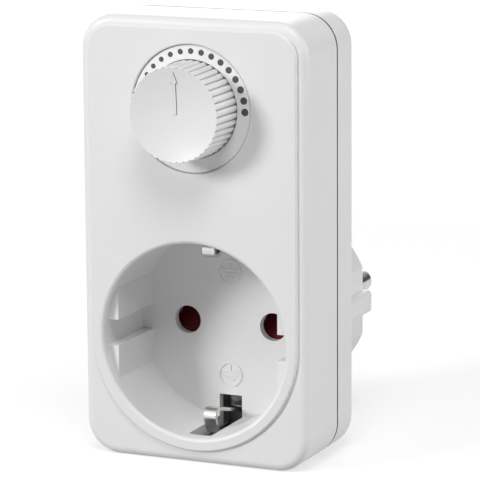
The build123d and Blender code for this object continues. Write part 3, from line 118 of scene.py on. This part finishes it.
class Val:
    """A shader socket whose arithmetic adds Math nodes."""

    def __init__(self, graph, socket):
        self.graph = graph
        self.socket = socket

    def _maths(self, operation, first, second):
        return self.graph.add("ShaderNodeMath", {"operation": operation}, {0: first, 1: second}).out("Value")

    def __add__(self, other):
        return self._maths("ADD", self, other)

    __radd__ = __add__

    def __sub__(self, other):
        return self._maths("SUBTRACT", self, other)

    def __rsub__(self, other):
        return self._maths("SUBTRACT", other, self)

    def __mul__(self, other):
        return self._maths("MULTIPLY", self, other)

    __rmul__ = __mul__

    def power(self, exponent):
        return self._maths("POWER", self, exponent)


class Node:
    """One shader node with its sockets at hand."""

    def __init__(self, graph, node):
        self.graph = graph
        self.node = node

    def out(self, name=0):
        return Val(self.graph, self.node.outputs[name])


class Graph:
    """A node tree, emptied, and what is added to it."""

    def __init__(self, tree):
        self.tree = tree
        tree.nodes.clear()

    def add(self, kind, settings=None, inputs=None):
        """A node of this type; its settings come first, then values or links for its sockets."""
        node = self.tree.nodes.new(kind)
        for key, value in (settings or {}).items():
            setattr(node, key, value)
        for key, value in (inputs or {}).items():
            self.put(node.inputs[key], value)
        return Node(self, node)

    def put(self, socket, value):
        """Link or set a socket."""
        if isinstance(value, Val):
            self.tree.links.new(value.socket, socket)
        elif isinstance(value, (tuple, list)) and socket.type == "RGBA":
            socket.default_value = (*value[:3], 1)
        else:
            socket.default_value = value

    def blend(self, share, low, high):
        """Colour that goes from low to high as share goes from 0 to 1."""
        return self.add("ShaderNodeMix", {"data_type": "RGBA"}, {"Factor": share, 6: low, 7: high}).out(2)

    def span(self, value, low, high, start, end):
        """Value carried from low..high to start..end, held at both ends."""
        return self.add("ShaderNodeMapRange", None, {0: value, 1: low, 2: high, 3: start, 4: end}).out(0)

    def seen(self):
        """1 or more for rays from the camera, from mirrors and from glass, 0 for all others."""
        path = self.add("ShaderNodeLightPath")
        return path.out("Is Camera Ray") + path.out("Is Glossy Ray") + path.out("Is Transmission Ray")


class Look(Graph):
    """A material made of nodes round one Principled shader."""

    def __init__(self, name):
        self.material = bpy.data.materials.new(name)
        self.material.use_nodes = True
        super().__init__(self.material.node_tree)
        principled = self.add("ShaderNodeBsdfPrincipled")
        self.shader = principled.node
        self.add("ShaderNodeOutputMaterial", None, {"Surface": principled.out("BSDF")})
        self.place = self.add("ShaderNodeTexCoord").out("Object")

    def set(self, **values):
        """Sockets of the Principled shader, by name with underscores."""
        for key, value in values.items():
            self.put(self.shader.inputs[key.replace("_", " ")], value)
        return self

    def stretched(self, scale):
        """Object coordinates scaled per axis, for streaks."""
        return self.add("ShaderNodeMapping", None, {"Vector": self.place, "Scale": scale}).out()

    def axes(self):
        """The three object coordinates, in metres."""
        parts = self.add("ShaderNodeSeparateXYZ", None, {0: self.place})
        return parts.out("X"), parts.out("Y"), parts.out("Z")

    def size_of(self, value):
        """Absolute value."""
        return self.add("ShaderNodeMath", {"operation": "ABSOLUTE"}, {0: value}).out(0)

    def noise(self, scale, detail, roughness=0.5, place=None):
        """Smooth noise from 0 to 1, with this many features per unit of the place it reads."""
        return self.add("ShaderNodeTexNoise", None, {
            "Vector": place or self.place, "Scale": scale, "Detail": detail, "Roughness": roughness}).out(0)

    def spread(self, noise, start, end):
        """A noise carried to start..end, so that its middle values fill that range."""
        return self.span(noise, NOISE_LOW, NOISE_HIGH, start, end)

    def bump(self, height, distance, strength=0.5):
        """Relief of this depth in metres."""
        relief = self.add("ShaderNodeBump", None, {
            "Height": height, "Distance": distance, "Strength": strength})
        return self.set(Normal=relief.out("Normal"))


# Finishes

def tint(colour, share):
    """The colour times a share, held at 1."""
    return tuple(min(1, channel * share) for channel in colour)


def moulded(name, colour, rough=PLAIN, clouding=0.02, relief=6.0, gloss=0.5, shade=None, shaded=None):
    """Moulded plastic: a fine eroded texture this many micrometres deep, clouds that darken the colour by the
    share `clouding`, and small changes of gloss. Where a shade mask is given, its painted shade turns the
    colour to `shaded`."""
    look = Look(name)
    cloud = look.noise(CLOUDS, 3)
    surface = look.blend(look.spread(cloud, 0, 1), tint(colour, 1 - clouding), colour)
    # Painted shade: the colour goes to `shaded` where the shade mask is 1.
    if shade is not None:
        surface = look.blend(shade(look), surface, shaded)
    look.set(
        Base_Color=surface,
        Roughness=look.spread(look.noise(SMEARS, 4, 0.6), *rough),
        Specular_IOR_Level=gloss,
    )
    return look.bump(look.noise(SPECKS, 1) + 0.6 * cloud, relief * MICRON).material


def painted_seam_shade(look):
    """Painted shade for the groove between the covers, which darkens its colour as if shade fell in it: 1
    where |y - SEAM_MIDDLE| < SEAM_HALF and x^2 + z^2 > CUP_OUTSIDE^2, so that the recess stays clean, and 0
    elsewhere."""
    x, y, z = look.axes()
    outside = look.span(x * x + z * z, CUP_OUTSIDE ** 2, (CUP_OUTSIDE + CUP_FADE) ** 2, 0, 1)
    return outside * look.span(look.size_of(y - SEAM_MIDDLE), SEAM_HALF, SEAM_HALF + SEAM_FADE, 1, 0)


def painted_valley_shade(look):
    """Painted shade in the valleys between the knob's flutes. A point's rise is its distance from the knob's
    axis less the radius of the valleys there, which grows evenly from the face to the base. The painted shade
    fades out as the rise grows to VALLEY_FADE, and leaves out the dish and the first FLANK_START behind the
    face."""
    x, y, z = look.axes()
    depth = y - KNOB_FACE
    height = z - KNOB_AXIS
    reach = (x * x + height * height).power(0.5)
    rise = reach - VALLEY_AT_FACE - (VALLEY_AT_BASE - VALLEY_AT_FACE) / KNOB_LENGTH * depth
    flank = look.span(depth, FLANK_START, FLANK_FULL, 0, 1) * look.span(rise, DISH_CLEAR, DISH_EDGE, 0, 1)
    return flank * look.span(rise, VALLEY_FULL, VALLEY_FADE, PAINTED_VALLEY_SHADE, 0)


def plated(name, colour, rough=0.16, streaks=ALONG_X, painted_shade_from=None):
    """Plated metal: fine drawing lines along one axis and a faint tarnish in patches. Where
    painted_shade_from is given, the metal darkens with painted shade from that Y inwards, over SLOT_DEPTH and
    down to SLOT_PAINTED_SHADE of its colour."""
    look = Look(name)
    lines = look.noise(1, 2, 0.6, look.stretched(streaks))
    patch = look.noise(TARNISH, 3)
    surface = look.blend(look.span(patch, 0.35, 0.75, 0, 1), colour, tint(colour, TARNISHED))
    if painted_shade_from is not None:
        # Painted shade deep in a slot: the colour darkens from painted_shade_from inwards.
        x, y, z = look.axes()
        deep = look.span(y, painted_shade_from, painted_shade_from + SLOT_DEPTH, 0, 1)
        surface = look.blend(deep, surface, tint(colour, SLOT_PAINTED_SHADE))
    look.set(
        Base_Color=surface,
        Metallic=1.0,
        Roughness=look.span(lines + 0.4 * patch, 0.4, 1.0, rough, rough + STREAK_ROUGH),
    )
    return look.bump(lines, 4 * MICRON).material


def laminate(name, colour):
    """Board laminate: a woven ground under solder mask."""
    look = Look(name)
    weave = look.noise(1, 1, place=look.stretched(WEAVE))
    cross = look.noise(1, 1, place=look.stretched(CROSS_WEAVE))
    share = 0.5 * weave + 0.5 * cross
    look.set(
        Base_Color=look.blend(share, tint(colour, 0.8), tint(colour, 1.15)),
        Roughness=look.spread(share, 0.3, 0.42),
    )
    return look.bump(share, 10 * MICRON, 0.6).material


def clear_glass(name):
    """Clear glass tube with faint drawing lines."""
    look = Look(name)
    lines = look.noise(1, 2, place=look.stretched(GLASS_LINES))
    look.set(
        Base_Color=look.blend(lines, (0.92, 0.96, 0.95), (0.97, 0.99, 0.98)),
        Roughness=look.spread(lines, 0.02, 0.06),
        Transmission_Weight=1.0,
    )
    return look.bump(lines, 3 * MICRON, 0.4).material


finishes = {
    # The cover's seam groove gets painted shade, the dark grey 0.10.
    "white_cover": moulded("cover_white", (0.80, 0.80, 0.80), SOFT,
                           shade=painted_seam_shade, shaded=(0.10, 0.10, 0.10)),
    "white_dial": moulded("dial_white", (0.86, 0.86, 0.865), SATIN, 0.015, 3.6),
    # The knob's flute valleys get painted shade, the dark grey 0.22.
    "white_knob": moulded("knob_white", (0.79, 0.79, 0.795), SILKY, 0.015, 2.0,
                          shade=painted_valley_shade, shaded=(0.22, 0.22, 0.22)),
    "dark_ink": moulded("dot_ink", (0.065, 0.065, 0.07), MATT, 0.15, 4.8),
    "zinc_steel": plated("zinc_steel", (0.60, 0.60, 0.61), 0.3),
    "pot_phenolic": laminate("pot_base_laminate", (0.22, 0.12, 0.06)),
    "carbon_track": moulded("carbon_film", (0.03, 0.03, 0.03), ROUGH, 0.25, 12.0),
    "tinned_brass": plated("tinned_brass", (0.66, 0.62, 0.54), 0.28),
    "shaft_metal": plated("turned_aluminium", (0.74, 0.74, 0.75), 0.25),
    "wiper_plastic": moulded("wiper_ivory", (0.72, 0.69, 0.60)),
    "board_laminate": laminate("board_tan", (0.42, 0.27, 0.10)),
    "iron_powder": moulded("core_lacquer", (0.75, 0.62, 0.12), DULL, 0.15, 24.0),
    "copper_wire": plated("enamelled_copper", (0.70, 0.30, 0.14), 0.22),
    "film_case": moulded("film_capacitor_yellow", (0.78, 0.60, 0.10), SATIN, 0.05),
    "timing_case": moulded("timing_capacitor_red", (0.45, 0.06, 0.05), SATIN, 0.05),
    "resistor_lacquer": moulded("resistor_sand", (0.62, 0.50, 0.33), SOFT, 0.10),
    "diac_case": moulded("diac_blue", (0.10, 0.20, 0.45), SATIN, 0.10),
    "triac_case": moulded("triac_black", (0.03, 0.03, 0.033), MATT, 0.15, 18.0),
    "sink_metal": plated("bare_aluminium", (0.70, 0.71, 0.72), 0.35),
    "fuse_glass": clear_glass("fuse_glass"),
    "fuse_nickel": plated("fuse_nickel", (0.66, 0.65, 0.62)),
    "pin_nickel": plated("pin_nickel", (0.60, 0.59, 0.57), 0.2, ALONG_Y),
    "contact_brass": plated("contact_brass", (0.75, 0.57, 0.26), 0.24),
    "carrier_plastic": moulded("carrier_grey", (0.50, 0.49, 0.46)),
    "shutter_plastic": moulded("shutter_maroon", (0.14, 0.008, 0.014), SOFT, 0.15, gloss=0.2),
    "spring_steel": plated("spring_steel", (0.56, 0.56, 0.57), 0.25),
    "arm_steel": plated("arm_steel", (0.20, 0.20, 0.205), 0.3, ALONG_YZ),
    # The earth clips' metal gets painted shade from Y = -34 mm inwards, deep in their slots.
    "earth_nickel": plated("earth_nickel", (0.72, 0.71, 0.68), 0.14, ALONG_YZ, -34 * MM),
    "wire_brown": moulded("wire_brown", (0.16, 0.07, 0.03), DULL),
    "wire_black": moulded("wire_black", (0.02, 0.02, 0.02), DULL),
}
for entry in frame["record"]["subparts"]:
    for slot in frame["nodes"][entry["node"]].material_slots:
        slot.material = finishes[entry["material_slot"]]


# Floor, light and camera

def grey(level):
    """The grey of this level."""
    return (level, level, level)


def card(name, corners, look):
    """Flat piece of the stage with four corners."""
    mesh = bpy.data.meshes.new(name)
    mesh.from_pydata(corners, [], [(0, 1, 2, 3)])
    mesh.materials.append(look.material)
    piece = bpy.data.objects.new(name, mesh)
    bpy.context.collection.objects.link(piece)
    return piece


def floor():
    """Flat pale floor at the housing's lowest edge. It adds light for the camera so that it meets the white
    background, more of it far away, and darkens where the object shades it."""
    look = Look("floor_pale")
    x, y, z = look.axes()
    far = look.span((x * x + y * y).power(0.5), FLOOR_NEAR, FLOOR_FAR, 0, 1)
    look.set(
        Base_Color=grey(FLOOR_COLOUR),
        Roughness=FLOOR_ROUGH,
        Emission_Color=look.blend(look.seen(), grey(0), look.blend(far, grey(FLOOR_GLOW), grey(1))),
        Emission_Strength=1.0,
    )
    level = cad_bounds[0][2] - FLOOR_DROP
    card("floor", [(a * FLOOR_HALF, b * FLOOR_HALF, level) for a, b in CORNERS], look)


def surroundings(level):
    """White background for the camera, mirrors and glass; a softer even light for everything else."""
    world = bpy.data.worlds.new("studio")
    bpy.context.scene.world = world
    world.use_nodes = True
    sky = Graph(world.node_tree)
    light = sky.add("ShaderNodeBackground", None, {"Color": sky.blend(sky.seen(), grey(level), grey(1))})
    sky.add("ShaderNodeOutputWorld", None, {"Surface": light.out()})


def flag(middle, width, height):
    """Dark upright card behind the object, seen only in reflections, which gives bright metal an edge."""
    x, y, z = middle
    look = Look("flag_black")
    look.set(Base_Color=grey(0.02), Roughness=0.9)
    dark = card("flag", [(x + a * width / 2, y, z + b * height / 2) for a, b in CORNERS], look)
    dark.visible_camera = False
    dark.visible_diffuse = False
    dark.visible_shadow = False
    dark.visible_transmission = False


def soft_box(name, place, size, power):
    """Square area lamp at a place, facing the object."""
    lamp = bpy.data.lights.new(name, "AREA")
    lamp.shape = "SQUARE"
    lamp.size = size
    lamp.energy = power
    holder = bpy.data.objects.new(name, lamp)
    bpy.context.collection.objects.link(holder)
    holder.location = place
    holder.rotation_euler = (Vector(SUBJECT) - Vector(place)).to_track_quat("-Z", "Y").to_euler()


def photo_camera():
    """The photo's camera, on a line from its aim that goes CAMERA_AZIMUTH to the right of the front and
    CAMERA_ELEVATION upwards."""
    back = Vector((
        math.sin(CAMERA_AZIMUTH) * math.cos(CAMERA_ELEVATION),
        -math.cos(CAMERA_AZIMUTH) * math.cos(CAMERA_ELEVATION),
        math.sin(CAMERA_ELEVATION),
    ))
    data = bpy.data.cameras.new("camera")
    data.sensor_width = SENSOR_WIDTH
    data.lens = SENSOR_WIDTH * FOCAL_PIXELS / PHOTO_PIXELS
    camera = bpy.data.objects.new("camera", data)
    bpy.context.collection.objects.link(camera)
    turn = back.to_track_quat("Z", "Y").to_matrix() @ Matrix.Rotation(CAMERA_ROLL, 3, "Z")
    camera.matrix_world = Matrix.Translation(Vector(CAMERA_AIM) + back * CAMERA_DISTANCE) @ turn.to_4x4()
    bpy.context.scene.camera = camera


floor()
surroundings(0.11)
flag((0.35, 1.0, 0.22), 0.9, 0.46)
soft_box("key", (-0.80, -1.00, 0.50), 0.34, 10.4)
soft_box("top", (0.30, -0.70, 1.15), 0.6, 8.0)
soft_box("side", (1.22, 0.10, 0.33), 0.6, 6.9)
soft_box("back", (-0.60, 1.10, 0.40), 0.8, 4.0)
photo_camera()
bpy.context.scene.view_settings.view_transform = "Standard"
